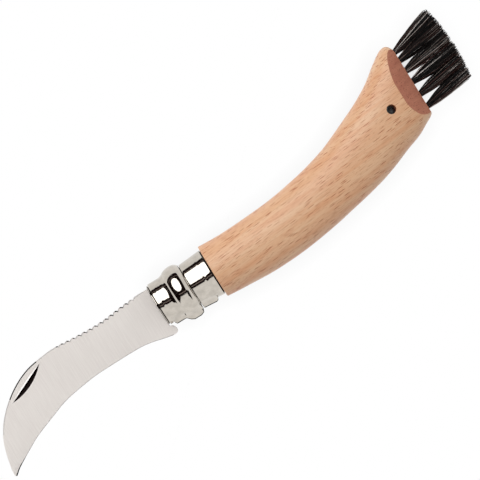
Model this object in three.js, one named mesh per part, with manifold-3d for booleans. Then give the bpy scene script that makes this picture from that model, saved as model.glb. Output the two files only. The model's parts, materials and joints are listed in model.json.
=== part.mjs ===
// Folding mushroom knife: a hooked blade, a locking collar, a curved beech handle and a brush in its end.
// Millimetres. The knife lies on its side: +X runs along the collar from blade to brush,
// +Y towards the back of the blade, and +Z up out of the blade's flat side.
import * as THREE from "three";
import { mergeVertices } from "three/addons/utils/BufferGeometryUtils.js";
import Module from "manifold-3d";

const wasm = await Module();
wasm.setup();

// Clearances and overruns shared by all pieces
const runningGap = 0.3;
const fittedGap = 0.15;
const overrun = 2;
const mergeDistance = 1e-4;

// Blade, measured from the front of the collar
const bladeLength = 80;
const bladeDrop = 25.6;
const bladeThickness = 1.7;
const edgeThickness = 0.16;
const heelDepth = 12;
const heelReach = 1.1;
const heelLand = 3;
const serrationDepth = 0.5;
const serrationPitch = 2.24;
const serrationStart = 7.5;
const serrationEnd = 39.5;
const nickLength = 16;
const nickWidth = 1.5;
const nickDepth = 0.45;

// Fixed ferrule on the front of the wood
const ferruleLength = 22.2;
const ferruleWall = 0.5;
const ferruleFrontRadius = 7.3;
const ferruleRearRadius = 9.1;
const ferruleStepRadius = 8.35;
const ferruleRimRadius = 7.95;
const ferruleRimLength = 0.35;
const ferruleLipHeight = 1.35;
const ferruleLipLength = 5.6;

// Turning lock ring over the ferrule
const ringLength = 12.7;
const ringWall = 0.7;
const ringBeadRise = 1.5;
const ringGapWidth = 3;
const ringLipThickness = 0.7;
const ringLipRise = 1.3;
const ringBeadLipRise = 1.6;

// Tang, pivot and rivet
const pivotX = 9.5;
const pivotDrop = 2.5;
const eyeRadius = 4.6;
const rivetRadius = 1.25;
const rivetHeadRise = 0.12;
const shoulderLength = 3.5;
const foldAngle = THREE.MathUtils.degToRad(175);

// Curved beech handle
const shoulderRadius = 10.3;
const shoulderRound = 0.4;
const handleThickness = 20.8;
const brushBlockLength = 19.9;
const handleBackRise = 26;
const handleBellyRise = 16.4;
const slotClearance = 0.7;
const lanyardDiameter = 3.5;
const lanyardSetback = 12;

// Brush end: flat face between two slanted flats, and its tufts
const brushFaceWidth = 9.2;
const brushFlatLength = 6.8;
const sliceThickness = 1.2;
const tuftRowPitch = 3;
const tuftDiameter = 2.2;
const tuftDepth = 6.4;
const bristleLength = 18.6;
const bristleTrim = 1;
const bristleWidth = 0.32;
const bristleLean = THREE.MathUtils.degToRad(12);
const bristleSpreadY = 23.9;
const bristleSpreadZ = 10.4;
const bristleTaperShare = 0.7;
const tuftSpread = 4.8;
const stapleWire = 0.45;
const stapleLength = 1.6;
const stapleWidth = 1.9;

// Outlines as hand-chosen shares. Spine and edge run from the collar to the tip.
const spineShares = [
  [0, 0], [0.07, 0], [0.16, 0.023], [0.275, 0.049], [0.4, 0.044], [0.515, 0.016], [0.585, 0.021],
  [0.7, 0.068], [0.81, 0.198], [0.907, 0.4], [0.963, 0.612], [0.995, 0.886], [1, 1],
];
const edgeShares = [
  [0.014, 0], [0.049, -0.037], [0.123, -0.132], [0.185, -0.176], [0.336, -0.176], [0.429, -0.162],
  [0.526, -0.096], [0.616, 0], [0.7, 0.162], [0.811, 0.397], [0.869, 0.566], [0.957, 0.846], [1, 1],
];
const sectionShares = [
  [0, 0.9], [0.05, 1], [0.42, 1], [0.75, 0.72], [0.93, 0.42],
];
const spineSpanShares = [0.012, 0.985];
const neckShare = 0.03;
const heelCurveShares = [0.324, 0.162];
const nickStartShares = [0.633, 0.084];
const nickEndShares = [0.826, 0.29];
const ringOuterShares = [
  [0, 0], [0.48, 0], [0.525, 0.1], [0.57, 0.42], [0.64, 0.73], [0.74, 0.93], [0.83, 1], [0.91, 0.9],
  [0.97, 0.66], [1, 0.4],
];
// Along the ring, then shares of the band lips' rise and of the bead lips' further rise
const ringLipShares = [
  [0.12, 0.45, 0], [0.16, 1, 0], [0.45, 1, 0], [0.56, 1, 0.7], [0.65, 1, 1], [0.87, 1, 1], [0.96, 1, 0.75],
  [1, 0.6, 0.3],
];
const ferruleLipShares = [
  [0, 0.9], [0.05, 1], [0.8, 1], [0.92, 0.75], [1, 0],
];
const backShares = [
  [0, 0], [0.09, -0.013], [0.2, 0.002], [0.32, 0.035], [0.43, 0.1], [0.5, 0.155], [0.585, 0.245],
  [0.645, 0.335], [0.71, 0.44], [0.77, 0.54], [0.845, 0.695], [0.905, 0.86], [0.952, 0.975],
  [0.975, 0.998], [0.988, 0.98], [0.996, 0.942], [1, 0.893],
];
const bellyShares = [
  [0, 0], [0.05, -0.025], [0.1, -0.04], [0.175, -0.068], [0.255, -0.064], [0.335, -0.036], [0.412, 0.018],
  [0.487, 0.085], [0.563, 0.173], [0.617, 0.235], [0.71, 0.36], [0.783, 0.494], [0.855, 0.658],
  [0.924, 0.8], [0.968, 0.939], [0.988, 1], [1, 1.05],
];
const thicknessShares = [
  [0, 0.99], [0.15, 1], [0.5, 1], [0.8, 0.985], [1, 0.96],
];
const squarenessShares = [
  [0, 1], [0.2, 1.06], [0.6, 1.15], [0.85, 1.22], [1, 1.25],
];
const tuftPlaceShares = [0.12, 0.31, 0.505, 0.675, 0.84, 0.965];
const strandRingShares = [
  [0, 1], [0.5, 7], [1, 14],
];

// How finely round shapes are cut
const collarSides = 48;
const handleSides = 40;
const handleStations = 30;
const bladeStations = 40;
const holeSides = 16;
const rootSides = 10;
const eyeSides = 20;

// Sizes that follow from the ones above
const ringFront = fittedGap;
const ringRear = ringFront + ringLength;
const ringInnerRadius = ferruleFrontRadius + runningGap;
const ringFrontRadius = ringInnerRadius + ringWall;
const ferruleFront = -ferruleRimLength - fittedGap;
const ferruleStep = ringRear + runningGap;
const ferruleInnerRadius = ferruleFrontRadius - ferruleWall;
const slotWidth = bladeThickness + 2 * runningGap;
const spineHeight = ferruleInnerRadius + fittedGap;
const tangTop = ferruleInnerRadius - runningGap;
const tangBottom = -ringInnerRadius + 2 * runningGap;
const bladeReach = Math.sqrt(bladeLength ** 2 - bladeDrop ** 2);
const slotReach = Math.hypot(bladeReach + pivotX, bladeDrop - pivotDrop) + slotClearance;
const handleStart = ferruleLength + runningGap;
const handleEnd = pivotX + slotReach + brushBlockLength;
const handleLength = handleEnd - handleStart;
const holeDepth = tuftDepth + stapleLength + 2 * runningGap;
const sliceBack = handleEnd - sliceThickness;

// Shared geometry work

function solidOf(geometry) {
  const plain = geometry.index ? geometry.toNonIndexed() : geometry.clone();
  plain.deleteAttribute("normal");
  plain.deleteAttribute("uv");
  const merged = mergeVertices(plain, mergeDistance);
  return new wasm.Manifold(new wasm.Mesh({
    numProp: 3,
    vertProperties: new Float32Array(merged.attributes.position.array),
    triVerts: new Uint32Array(merged.index.array),
  }));
}

function geometryOf(solid) {
  const mesh = solid.getMesh();
  const positions = new Float32Array(mesh.numVert * 3);
  for (let i = 0; i < mesh.numVert; i++) {
    positions.set(mesh.vertProperties.subarray(i * mesh.numProp, i * mesh.numProp + 3), i * 3);
  }
  const geometry = new THREE.BufferGeometry();
  geometry.setAttribute("position", new THREE.BufferAttribute(positions, 3));
  geometry.setIndex(new THREE.BufferAttribute(mesh.triVerts, 1));
  geometry.computeVertexNormals();
  return geometry;
}

function smoothLine(points) {
  return new THREE.CatmullRomCurve3(points.map(([x, y]) => new THREE.Vector3(x, y, 0)), false, "centripetal");
}

// A value read off a table of shares at one place along it
function shareAt(table, place) {
  const next = table.findIndex(([at]) => at >= place);
  if (next <= 0) return table[Math.max(next, 0)][1];
  const [from, low] = table[next - 1];
  const [to, high] = table[next];
  return low + (high - low) * (place - from) / (to - from);
}

// A closed skin over rings of points that all have as many points, with a flat fan at each end
function skinOver(rings) {
  const sides = rings[0].length;
  const positions = rings.flat().flatMap((p) => [p.x, p.y, p.z]);
  const indices = [];
  for (let i = 0; i + 1 < rings.length; i++) {
    for (let j = 0; j < sides; j++) {
      const a = i * sides + j;
      const b = i * sides + (j + 1) % sides;
      indices.push(a, b, b + sides, a, b + sides, a + sides);
    }
  }
  for (const [ring, start, turn] of [[rings[0], 0, -1], [rings.at(-1), (rings.length - 1) * sides, 1]]) {
    const middle = ring.reduce((sum, p) => sum.add(p), new THREE.Vector3()).divideScalar(sides);
    const centre = positions.length / 3;
    positions.push(middle.x, middle.y, middle.z);
    for (let j = 0; j < sides; j++) {
      const a = start + j;
      const b = start + (j + 1) % sides;
      indices.push(...(turn > 0 ? [a, b, centre] : [b, a, centre]));
    }
  }
  const geometry = new THREE.BufferGeometry();
  geometry.setAttribute("position", new THREE.Float32BufferAttribute(positions, 3));
  geometry.setIndex(indices);
  return geometry;
}

// A revolved shell about the collar's axis, from a closed line of [along, radius] points
function turned(profile, sides = collarSides) {
  const points = [...profile, profile[0]].map(([along, radius]) => new THREE.Vector2(radius, along));
  return solidOf(new THREE.LatheGeometry(points, sides).rotateZ(-Math.PI / 2));
}

function plate(shape, thickness, curveSegments = 6) {
  const flat = new THREE.ExtrudeGeometry(shape, { depth: thickness, bevelEnabled: false, curveSegments });
  return flat.translate(0, 0, -thickness / 2);
}

function block(from, to) {
  const size = new THREE.Vector3().subVectors(to, from);
  const middle = new THREE.Vector3().addVectors(from, to).divideScalar(2);
  return solidOf(new THREE.BoxGeometry(size.x, size.y, size.z).translate(middle.x, middle.y, middle.z));
}

// A round bar along Z
function bar(radius, length, sides, x, y) {
  return solidOf(new THREE.CylinderGeometry(radius, radius, length, sides).rotateX(Math.PI / 2).translate(x, y, 0));
}

function folded(x, y) {
  const fromPivot = new THREE.Vector2(x - pivotX, y + pivotDrop).rotateAround(new THREE.Vector2(), foldAngle);
  return [fromPivot.x + pivotX, fromPivot.y - pivotDrop];
}

// Blade: ground steel with a serrated back, a nail nick and a tang that turns on the rivet

function spinePoint([along, down]) {
  return [-along * bladeReach, spineHeight - down * (spineHeight + bladeDrop)];
}

function edgePoint([along, down]) {
  return [-along * bladeReach, -heelDepth - down * (bladeDrop - heelDepth)];
}

const spineLine = smoothLine(spineShares.map(spinePoint));
const edgeLine = smoothLine(edgeShares.map(edgePoint));

function groundBlade() {
  const rings = [];
  for (let i = bladeStations; i >= 0; i--) {
    const place = i / bladeStations;
    const spine = spineLine.getPointAt(THREE.MathUtils.lerp(...spineSpanShares, place));
    const edge = edgeLine.getPointAt(place);
    const ground = THREE.MathUtils.smoothstep(place * bladeReach, heelLand, 3 * heelLand);
    const half = bladeThickness / 2;
    const side = sectionShares.map(([across, thick]) => [across, half * THREE.MathUtils.lerp(1, thick, ground)]);
    side.push([1, THREE.MathUtils.lerp(half, edgeThickness / 2, ground)]);
    const up = side.map(([across, z]) => new THREE.Vector3().lerpVectors(spine, edge, across).setZ(z));
    const down = side.map(([across, z]) => new THREE.Vector3().lerpVectors(spine, edge, across).setZ(-z));
    rings.push([...up, ...down.reverse()]);
  }
  return solidOf(skinOver(rings));
}

function tangShape() {
  const shape = new THREE.Shape();
  const heelTop = -ringFrontRadius - runningGap;
  const notch = ferruleFront - fittedGap;
  const [neckX, neckY] = spinePoint([neckShare, 0]);
  shape.moveTo(neckX, neckY);
  shape.lineTo(notch, neckY);
  shape.lineTo(notch, tangTop);
  shape.lineTo(shoulderLength, tangTop);
  shape.absarc(pivotX, -pivotDrop, eyeRadius, 0.78 * Math.PI, -0.5 * Math.PI, true);
  shape.lineTo(notch, tangBottom);
  shape.lineTo(notch, heelTop);
  shape.lineTo(0, heelTop);
  const heelHeight = heelDepth + heelTop;
  const [shoulderShare, toeShare] = heelCurveShares;
  const toe = -heelDepth + toeShare * heelHeight;
  shape.quadraticCurveTo(heelReach, heelTop - shoulderShare * heelHeight, heelReach, toe);
  shape.quadraticCurveTo(heelReach / 2, -heelDepth, -heelReach, -heelDepth);
  shape.lineTo(neckX, -heelDepth + fittedGap);
  shape.closePath();
  return shape;
}

function serrations() {
  const cutRadius = (serrationPitch ** 2 / 4 + serrationDepth ** 2) / (2 * serrationDepth);
  const whole = spineLine.getLength();
  const cuts = [];
  for (let along = serrationStart; along < serrationEnd; along += serrationPitch) {
    const at = spineLine.getPointAt(along / whole);
    const tangent = spineLine.getTangentAt(along / whole);
    const outward = new THREE.Vector3(tangent.y, -tangent.x, 0);
    const centre = at.clone().addScaledVector(outward, cutRadius - serrationDepth);
    cuts.push(bar(cutRadius, bladeThickness + overrun, eyeSides, centre.x, centre.y));
  }
  return wasm.Manifold.union(cuts);
}

// A shallow pressed hollow: straight along the back and bowed, with a steep wall, towards the edge
function nailNick() {
  const from = new THREE.Vector2(...spinePoint(nickStartShares));
  const to = new THREE.Vector2(...spinePoint(nickEndShares));
  const middle = new THREE.Vector2().addVectors(from, to).divideScalar(2);
  const turn = Math.atan2(to.y - from.y, to.x - from.x);
  const radius = nickLength ** 2 / (8 * nickWidth) + nickWidth / 2;
  const tilt = Math.atan2(nickDepth, nickWidth);
  const disc = new THREE.CylinderGeometry(radius, radius, overrun, 4 * collarSides).rotateX(Math.PI / 2);
  disc.translate(0, nickWidth - radius, overrun / 2);
  disc.rotateX(-tilt);
  disc.rotateZ(turn);
  disc.translate(middle.x, middle.y, bladeThickness / 2);
  return solidOf(disc);
}

function blade() {
  const tang = solidOf(plate(tangShape(), bladeThickness, eyeSides));
  const eye = bar(rivetRadius + fittedGap, bladeThickness + overrun, holeSides, pivotX, -pivotDrop);
  return groundBlade().add(tang).subtract(serrations()).subtract(nailNick()).subtract(eye);
}

// Fixed ferrule: a steel tube slit along its underside, whose slit edges are turned outwards

function ferruleOuter() {
  const rimBack = ferruleFront + ferruleRimLength;
  return [
    [ferruleFront, ferruleFrontRadius], [ferruleFront, ferruleRimRadius], [rimBack, ferruleRimRadius],
    [rimBack, ferruleFrontRadius], [ferruleStep, ferruleFrontRadius], [ferruleStep, ferruleStepRadius],
    [ferruleLength, ferruleRearRadius],
  ];
}

function ferruleInner(gap) {
  const stepped = ferruleStep + ferruleWall;
  return [
    [ferruleFront, ferruleInnerRadius - gap], [stepped, ferruleInnerRadius - gap],
    [stepped, ferruleStepRadius - ferruleWall - gap], [ferruleLength, ferruleRearRadius - ferruleWall - gap],
  ];
}

// Both turned-out edges of a slit, from a side outline of [along, radius] points
function slitLips(outline, width, thickness) {
  const shape = new THREE.Shape(outline.map(([along, radius]) => new THREE.Vector2(along, -radius)));
  const lip = plate(shape, thickness);
  const aside = (width + thickness) / 2;
  return solidOf(lip.clone().translate(0, 0, aside)).add(solidOf(lip.translate(0, 0, -aside)));
}

function fixedFerrule() {
  const tube = turned([...ferruleOuter(), ...ferruleInner(0).reverse()]);
  const lipEnd = ferruleStep + ferruleLipLength;
  const outline = ferruleLipShares.map(([along, rise]) => [
    ferruleStep + along * ferruleLipLength, ferruleStepRadius + rise * ferruleLipHeight,
  ]);
  const lips = slitLips([
    [ferruleStep, ferruleInnerRadius], ...outline, [lipEnd, ferruleInnerRadius],
  ], slotWidth, ferruleWall);
  const hollowRadius = ferruleStepRadius - ferruleWall / 2;
  const hollow = turned([
    [ferruleFront, 0], [ferruleFront, hollowRadius], [ferruleLength, hollowRadius], [ferruleLength, 0],
  ]);
  const slit = block(
    new THREE.Vector3(ferruleFront - overrun, -2 * ferruleRearRadius, -slotWidth / 2),
    new THREE.Vector3(ferruleLength + overrun, 0, slotWidth / 2),
  );
  const rivetHole = bar(rivetRadius + fittedGap, 2 * ferruleRearRadius, holeSides, pivotX, -pivotDrop);
  return tube.add(lips.subtract(hollow)).subtract(slit).subtract(rivetHole);
}

// Lock ring: a beaded steel ring, split for the blade, with its split edges turned outwards

function lockRing() {
  const outer = ringOuterShares.map(([along, rise]) => [
    ringFront + along * ringLength, ringFrontRadius + rise * ringBeadRise,
  ]);
  const inner = outer.map(([along, radius]) => [along, radius - ringWall]);
  const tube = turned([...outer, ...inner.toReversed()]);
  const outline = ringLipShares.map(([along, band, bead]) => [
    ringFront + along * ringLength,
    ringFrontRadius + band * ringLipRise + bead * (ringBeadRise + ringBeadLipRise - ringLipRise),
  ]);
  const root = ringInnerRadius + ringWall / 2;
  const lips = slitLips([[outline[0][0], root], ...outline, [ringRear, root]], ringGapWidth, ringLipThickness);
  const middle = inner.map(([along, radius]) => [along, radius + ringWall / 2]);
  const hollow = turned([[ringFront, 0], ...middle, [ringRear, 0]]);
  const split = block(
    new THREE.Vector3(ringFront - overrun, -2 * ringFrontRadius, -ringGapWidth / 2),
    new THREE.Vector3(ringRear + overrun, 0, ringGapWidth / 2),
  );
  return tube.add(lips.subtract(hollow)).subtract(split);
}

// Rivet: a plain steel pin whose two ends are set flush with the ferrule
function pivotRivet() {
  const half = Math.sqrt(ferruleFrontRadius ** 2 - pivotDrop ** 2) - rivetHeadRise;
  const profile = [
    new THREE.Vector2(0, -half - rivetHeadRise), new THREE.Vector2(rivetRadius / 2, -half - rivetHeadRise / 2),
    new THREE.Vector2(rivetRadius, -half), new THREE.Vector2(rivetRadius, half),
    new THREE.Vector2(rivetRadius / 2, half + rivetHeadRise / 2), new THREE.Vector2(0, half + rivetHeadRise),
  ];
  return solidOf(new THREE.LatheGeometry(profile, holeSides).rotateX(Math.PI / 2).translate(pivotX, -pivotDrop, 0));
}

// Handle: beech turned and carved in one piece, round at the collar and oval towards the brush

const backLine = smoothLine(backShares.map(([along, rise]) => [
  handleStart + along * handleLength, shoulderRadius + rise * handleBackRise,
]));
const bellyLine = smoothLine(bellyShares.map(([along, rise]) => [
  handleStart + along * handleLength, -shoulderRadius + rise * handleBellyRise,
]));

// The height of an outline at one place along the handle
function heightAt(line, x) {
  let low = 0;
  let high = 1;
  for (let i = 0; i < 40; i++) {
    const middle = (low + high) / 2;
    if (line.getPoint(middle).x < x) low = middle;
    else high = middle;
  }
  return line.getPoint(low).y;
}

function roundSection(x, radius) {
  return section(x, 0, radius, radius, 1);
}

// A superellipse across the handle, whose power is twice the squareness
function section(x, middle, halfHeight, halfThickness, squareness) {
  const ring = [];
  for (let j = 0; j < handleSides; j++) {
    const angle = 2 * Math.PI * j / handleSides;
    const up = Math.sign(Math.cos(angle)) * Math.abs(Math.cos(angle)) ** (1 / squareness);
    const out = Math.sign(Math.sin(angle)) * Math.abs(Math.sin(angle)) ** (1 / squareness);
    ring.push(new THREE.Vector3(x, middle + up * halfHeight, out * halfThickness));
  }
  return ring;
}

function handleBlank() {
  const rings = ferruleInner(fittedGap).map(([x, radius]) => roundSection(x, radius));
  rings[0].forEach((p) => p.setX(fittedGap));
  rings.pop();
  rings.push(roundSection(handleStart, ferruleRearRadius - ferruleWall - fittedGap));
  rings.push(roundSection(handleStart, shoulderRadius - shoulderRound));
  for (let i = 0; i <= handleStations; i++) {
    const place = Math.sin(Math.PI / 2 * (i / handleStations) ** 0.8);
    const x = i === 0 ? handleStart + shoulderRound : handleStart + place * handleLength;
    const top = heightAt(backLine, x);
    const bottom = heightAt(bellyLine, x);
    const half = handleThickness / 2 * shareAt(thicknessShares, place);
    rings.push(section(x, (top + bottom) / 2, (top - bottom) / 2, half, shareAt(squarenessShares, place)));
  }
  return solidOf(skinOver(rings));
}

// The two slanted flats that narrow the wood to the brush face
function brushFlats() {
  const slope = Math.atan2((handleThickness - brushFaceWidth) / 2, brushFlatLength);
  const reach = handleBackRise + handleThickness;
  const cut = new THREE.BoxGeometry(2 * reach, 2 * reach, reach);
  cut.translate(0, handleBackRise / 2, reach / 2).rotateY(slope).translate(handleEnd, 0, brushFaceWidth / 2);
  const other = cut.clone().scale(1, 1, -1);
  const turnedRound = other.index.array;
  for (let i = 0; i < turnedRound.length; i += 3) {
    [turnedRound[i + 1], turnedRound[i + 2]] = [turnedRound[i + 2], turnedRound[i + 1]];
  }
  return solidOf(cut).add(solidOf(other));
}

// The saw slot: it follows the edge of the folded blade, with room round the tang's eye
function slotShape() {
  const shape = new THREE.Shape();
  const deepest = -heelDepth - shoulderRadius;
  const roof = ferruleInnerRadius;
  const eyeRoom = eyeRadius + slotClearance;
  shape.moveTo(ferruleFront - overrun, deepest);
  shape.lineTo(ferruleFront - overrun, roof);
  shape.lineTo(shoulderLength + slotClearance, roof);
  shape.absarc(pivotX, -pivotDrop, eyeRoom, 0.7 * Math.PI, 0.35 * Math.PI, true);
  const heelRoom = new THREE.Vector2(...folded(heelReach, -heelDepth));
  shape.lineTo(heelRoom.x - slotClearance, heelRoom.y + slotClearance);
  for (let i = 0; i <= bladeStations; i++) {
    const at = edgeLine.getPointAt(i / bladeStations);
    const tangent = edgeLine.getTangentAt(i / bladeStations);
    shape.lineTo(...folded(at.x - tangent.y * slotClearance, at.y + tangent.x * slotClearance));
  }
  const [tipX, tipY] = folded(-bladeReach, -bladeDrop);
  shape.absarc(pivotX, -pivotDrop, slotReach, Math.atan2(tipY + pivotDrop, tipX - pivotX), -0.15 * Math.PI, true);
  shape.lineTo(pivotX, 3 * deepest);
  shape.closePath();
  return shape;
}

// Tufts are set in rows across the face; each leans a little more than the one below it
const faceBottom = heightAt(bellyLine, handleEnd);
const faceHeight = heightAt(backLine, handleEnd) - faceBottom;

function tufts() {
  const places = [];
  const base = tuftPlaceShares.map((share) => faceBottom + share * faceHeight);
  const middle = (base[0] + base.at(-1)) / 2 + bristleLength * Math.tan(bristleLean);
  for (let row = -1; row <= 1; row++) {
    base.forEach((y, i) => {
      const tipY = middle + (i / (base.length - 1) - 0.5) * bristleSpreadY;
      places.push({
        row,
        root: new THREE.Vector3(handleEnd, y, row * tuftRowPitch),
        tip: new THREE.Vector3(handleEnd + bristleLength, tipY, row * bristleSpreadZ / 2),
      });
    });
  }
  return places;
}

// The line of a tuft's hole: it leans along the face with the tuft, and lies flat across it
function holeLine(tuft) {
  return new THREE.Vector3().subVectors(tuft.root, tuft.tip).setZ(0).normalize();
}

// A round bar from one point along a line
function rod(from, line, length, radius, sides) {
  const shaft = new THREE.CylinderGeometry(radius, radius, length, sides).translate(0, length / 2, 0);
  shaft.applyQuaternion(new THREE.Quaternion().setFromUnitVectors(new THREE.Vector3(0, 1, 0), line));
  return solidOf(shaft.translate(from.x, from.y, from.z));
}

const shapedBlank = handleBlank().subtract(brushFlats());

function handle() {
  const slot = solidOf(plate(slotShape(), slotWidth, 24));
  const slices = block(
    new THREE.Vector3(sliceBack - runningGap, -handleThickness, -handleThickness),
    new THREE.Vector3(handleEnd + overrun, 3 * handleThickness, handleThickness),
  );
  const holes = tufts().map((tuft) => rod(
    tuft.root.clone().addScaledVector(holeLine(tuft), -overrun), holeLine(tuft),
    holeDepth + overrun, tuftDiameter / 2 + fittedGap, rootSides,
  ));
  const lanyardX = handleEnd - lanyardSetback;
  const lanyardY = (heightAt(backLine, lanyardX) + heightAt(bellyLine, lanyardX)) / 2;
  const lanyard = bar(lanyardDiameter / 2, handleThickness + overrun, holeSides, lanyardX, lanyardY);
  const rivetHole = bar(rivetRadius + fittedGap, handleThickness, holeSides, pivotX, -pivotDrop);
  return shapedBlank.subtract(wasm.Manifold.union([slot, slices, lanyard, rivetHole, ...holes]));
}

// Bristles: each tuft's strands fan out from its hole, so that none crosses another

function strands(tuft, seed) {
  const positions = [];
  const indices = [];
  strandRingShares.forEach(([out, count]) => {
    for (let i = 0; i < count; i++) {
      const angle = 2 * Math.PI * (i + out / 3) / count;
      const at = new THREE.Vector3(0, Math.cos(angle), Math.sin(angle)).multiplyScalar(out);
      const inset = (tuftDiameter - bristleWidth) / 2;
      const foot = tuft.root.clone().addScaledVector(at, inset).setX(sliceBack + sliceThickness / 2);
      const head = tuft.tip.clone().addScaledVector(at, (tuftSpread - bristleWidth) / 2);
      const uneven = 0.5 + 0.5 * Math.sin(13 * (seed + i) + count);
      head.lerp(foot, uneven * bristleTrim / bristleLength);
      const first = positions.length / 3;
      for (const [end, width] of [[foot, bristleWidth], [head, bristleTaperShare * bristleWidth]]) {
        for (let k = 0; k < 3; k++) {
          const corner = 2 * Math.PI * k / 3 + seed;
          positions.push(end.x, end.y + width / 2 * Math.cos(corner), end.z + width / 2 * Math.sin(corner));
        }
      }
      for (let k = 0; k < 3; k++) {
        const next = (k + 1) % 3;
        indices.push(first + k, first + next, first + next + 3, first + k, first + next + 3, first + k + 3);
      }
      indices.push(first + 3, first + 4, first + 5, first + 2, first + 1, first);
    }
  });
  const geometry = new THREE.BufferGeometry();
  geometry.setAttribute("position", new THREE.Float32BufferAttribute(positions, 3));
  geometry.setIndex(indices);
  return solidOf(geometry);
}

// One row of tufts with the slice of the brush face that holds it
function bristleRow(row) {
  const own = tufts().filter((tuft) => tuft.row === row);
  const bound = (tuftRowPitch - runningGap) / 2;
  const reach = 2 * handleThickness;
  const slice = block(
    new THREE.Vector3(sliceBack, -reach, row < 0 ? -reach : row * tuftRowPitch - bound),
    new THREE.Vector3(handleEnd + overrun, 2 * reach, row > 0 ? reach : row * tuftRowPitch + bound),
  ).intersect(shapedBlank);
  const roots = own.map((tuft) => {
    const start = tuft.root.clone().addScaledVector(holeLine(tuft), sliceThickness / 2);
    return rod(start, holeLine(tuft), tuftDepth - sliceThickness / 2, tuftDiameter / 2, rootSides);
  });
  return wasm.Manifold.union([slice, ...roots, ...own.map((tuft, i) => strands(tuft, 5 * i + 3 * row))]);
}

// The flat wire staple that holds a folded tuft at the bottom of its hole
function staple(tuft) {
  const shape = new THREE.Shape();
  const half = stapleWidth / 2;
  shape.moveTo(-half, 0);
  shape.lineTo(half, 0);
  shape.lineTo(half, stapleLength);
  shape.lineTo(half - stapleWire, stapleLength);
  shape.lineTo(half - stapleWire, stapleWire);
  shape.lineTo(stapleWire - half, stapleWire);
  shape.lineTo(stapleWire - half, stapleLength);
  shape.lineTo(-half, stapleLength);
  shape.closePath();
  const wire = plate(shape, stapleWire);
  wire.applyQuaternion(new THREE.Quaternion().setFromUnitVectors(new THREE.Vector3(0, 1, 0), holeLine(tuft)));
  const at = tuft.root.clone().addScaledVector(holeLine(tuft), tuftDepth + runningGap);
  return solidOf(wire.translate(at.x, at.y, at.z));
}

// Assembly

const beech = { color: 0xe2b892, roughness: 0.45, metalness: 0 };
const satinSteel = { color: 0xddd9d4, roughness: 0.32, metalness: 1 };
const polishedSteel = { color: 0xcdc6bc, roughness: 0.08, metalness: 1 };
const horsehair = { color: 0x17100e, roughness: 0.6, metalness: 0 };

function piece(name, solid, finish) {
  const mesh = new THREE.Mesh(geometryOf(solid), new THREE.MeshStandardMaterial(finish));
  mesh.name = name;
  return mesh;
}

const knife = new THREE.Group();
knife.add(piece("handle", handle(), beech));
knife.add(piece("fixed_ferrule", fixedFerrule(), polishedSteel));
knife.add(piece("pivot_rivet", pivotRivet(), satinSteel));
knife.add(piece("lock_ring", lockRing(), polishedSteel));
knife.add(piece("blade", blade(), satinSteel));
["near", "middle", "far"].forEach((name, i) => {
  knife.add(piece("bristle_row_" + name, bristleRow(1 - i), horsehair));
});
tufts().forEach((tuft, i) => {
  knife.add(piece("tuft_staple_" + String(i + 1).padStart(2, "0"), staple(tuft), satinSteel));
});

// The knife is set down on its side, centred over the origin
const bounds = new THREE.Box3().setFromObject(knife);
const centre = bounds.getCenter(new THREE.Vector3());
knife.position.set(-centre.x, -centre.y, -bounds.min.z);

const group = new THREE.Group();
group.add(knife);
export default group;
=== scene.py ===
import bisect
import json
import math
import random

import bpy
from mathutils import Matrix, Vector
from mathutils.geometry import interpolate_bezier


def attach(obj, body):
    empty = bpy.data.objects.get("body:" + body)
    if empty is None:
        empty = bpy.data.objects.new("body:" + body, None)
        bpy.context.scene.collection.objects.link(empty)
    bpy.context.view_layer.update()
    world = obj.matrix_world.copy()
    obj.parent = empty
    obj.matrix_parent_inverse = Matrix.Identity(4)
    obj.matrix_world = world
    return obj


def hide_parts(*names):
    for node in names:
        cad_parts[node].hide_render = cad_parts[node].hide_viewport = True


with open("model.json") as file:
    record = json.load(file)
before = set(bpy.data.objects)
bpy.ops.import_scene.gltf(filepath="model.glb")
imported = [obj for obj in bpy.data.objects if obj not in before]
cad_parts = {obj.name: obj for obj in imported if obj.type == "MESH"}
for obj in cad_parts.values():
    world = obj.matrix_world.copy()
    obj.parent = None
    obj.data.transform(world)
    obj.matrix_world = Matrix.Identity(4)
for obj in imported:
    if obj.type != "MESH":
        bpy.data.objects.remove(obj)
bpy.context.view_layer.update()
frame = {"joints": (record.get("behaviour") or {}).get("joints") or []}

bpy.context.scene.view_settings.view_transform = "Standard"

# Camera. It looks straight down on the knife, which lies on its side, through a long lens.
# The collar's axis climbs to the right across the picture. Sizes are in millimetres, times mm.
mm = 0.001
ring_joint_setback = 6.5
ring_joint = next(Vector(joint["pos_m"]) for joint in frame["joints"] if joint["name"] == "ring_turn")
collar_front = ring_joint - Vector((ring_joint_setback * mm, 0, 0))


def at(x, y, z=0.0):
    """A place on the knife: millimetres behind the collar's front, towards its back, and up."""
    return collar_front + Vector((x, y, z)) * mm


picture_width = 171.4
picture_middle = at(36.7, 4.5)
axis_climb = math.radians(31.6)
lens = 200.0
sensor = 36.0
camera_height = picture_width * mm * lens / sensor
bpy.ops.object.camera_add(location=picture_middle + Vector((0, 0, camera_height)),
                          rotation=(0, 0, -axis_climb))
camera = bpy.context.object
camera.data.lens = lens
camera.data.sensor_width = sensor
camera.data.clip_start = 0.01
camera.data.clip_end = 20.0
bpy.context.scene.camera = camera


# Studio. A white room gives even light and one softbox leans over the back of the knife. Behind it
# hangs a black velvet panel with two pale seams, and two velvet cards stand beside the collar, so
# that bright metal shows a window in a dark frame.
def linear(code, share=1.0):
    """An sRGB hex colour, or a darker share of it, as the linear values that shaders take."""
    channels = [int(code[i:i + 2], 16) / 255 for i in (1, 3, 5)]
    levels = [c / 12.92 if c <= 0.04045 else ((c + 0.055) / 1.055) ** 2.4 for c in channels]
    return (*(share * level for level in levels), 1.0)


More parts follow.
